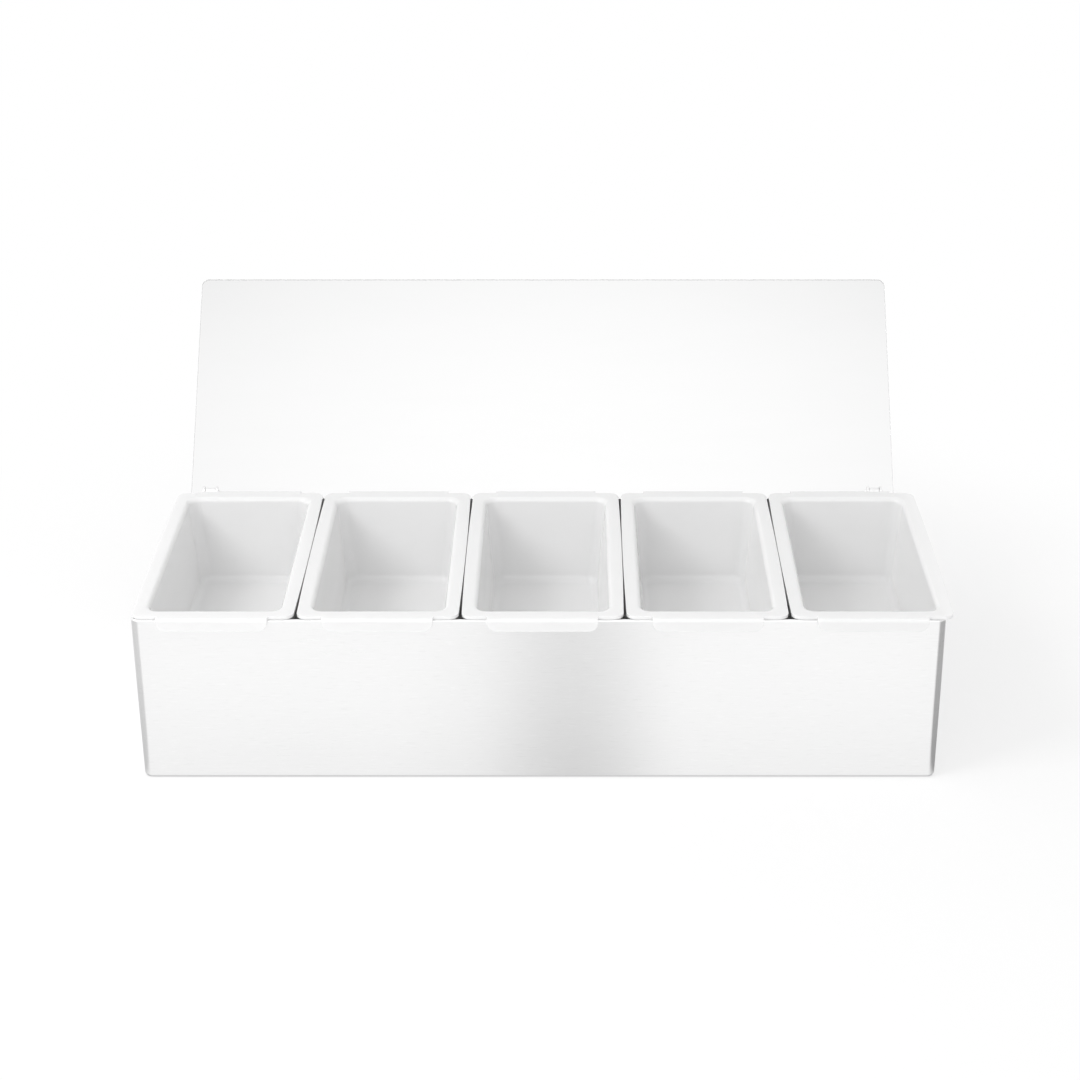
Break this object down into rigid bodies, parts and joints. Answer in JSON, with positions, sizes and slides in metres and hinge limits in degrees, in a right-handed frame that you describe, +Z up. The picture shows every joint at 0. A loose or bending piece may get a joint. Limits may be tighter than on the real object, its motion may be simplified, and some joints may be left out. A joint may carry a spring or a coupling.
{
  "type": "condiment caddy",
  "caption": "Countertop condiment caddy: hemmed steel tray, row of lift-out moulded inserts with hook-over lips, and one clear hinged lid leaning open.",
  "frame": {"origin": "centre of the tray's flat underside", "axes": "+X along the tray to the right as the picture shows it, +Y to the hinged back, +Z up"},
  "size_m": [0.5049, 0.3104, 0.2276],
  "materials": {
    "tray_steel": "brushed along the length",
    "insert_plastic": "moulded satin white",
    "clear_lid": "clear polished sheet",
    "hinge_steel": "satin"
  },
  "bodies": {
    "tray": {"steel_tray": "tray_steel", "hinge_bracket_left": "hinge_steel", "hinge_bracket_right": "hinge_steel", "hinge_pin_left": "hinge_steel", "hinge_pin_right": "hinge_steel", "bracket_rivets": "hinge_steel"},
    "lid": {"lid_panel": "clear_lid", "hinge_leaf_left": "hinge_steel", "hinge_leaf_right": "hinge_steel", "lid_rivets": "hinge_steel"},
    "insert_1": {"insert_1": "insert_plastic"},
    "insert_2": {"insert_2": "insert_plastic"},
    "insert_3": {"insert_3": "insert_plastic"},
    "insert_4": {"insert_4": "insert_plastic"},
    "insert_5": {"insert_5": "insert_plastic"}
  },
  "joints": [
    {"name": "lid_hinge", "type": "hinge", "parent": "tray", "child": "lid", "pos_m": [0, 0.1025, 0.1112], "axis": [-1, 0, 0], "range_deg": [-132, 0]},
    {"name": "insert_1_lift", "type": "slide", "parent": "tray", "child": "insert_1", "axis": [0, 0, 1], "range_m": [0, 0.12]},
    {"name": "insert_2_lift", "type": "slide", "parent": "tray", "child": "insert_2", "axis": [0, 0, 1], "range_m": [0, 0.12]},
    {"name": "insert_3_lift", "type": "slide", "parent": "tray", "child": "insert_3", "axis": [0, 0, 1], "range_m": [0, 0.12]},
    {"name": "insert_4_lift", "type": "slide", "parent": "tray", "child": "insert_4", "axis": [0, 0, 1], "range_m": [0, 0.12]},
    {"name": "insert_5_lift", "type": "slide", "parent": "tray", "child": "insert_5", "axis": [0, 0, 1], "range_m": [0, 0.12]}
  ]
}
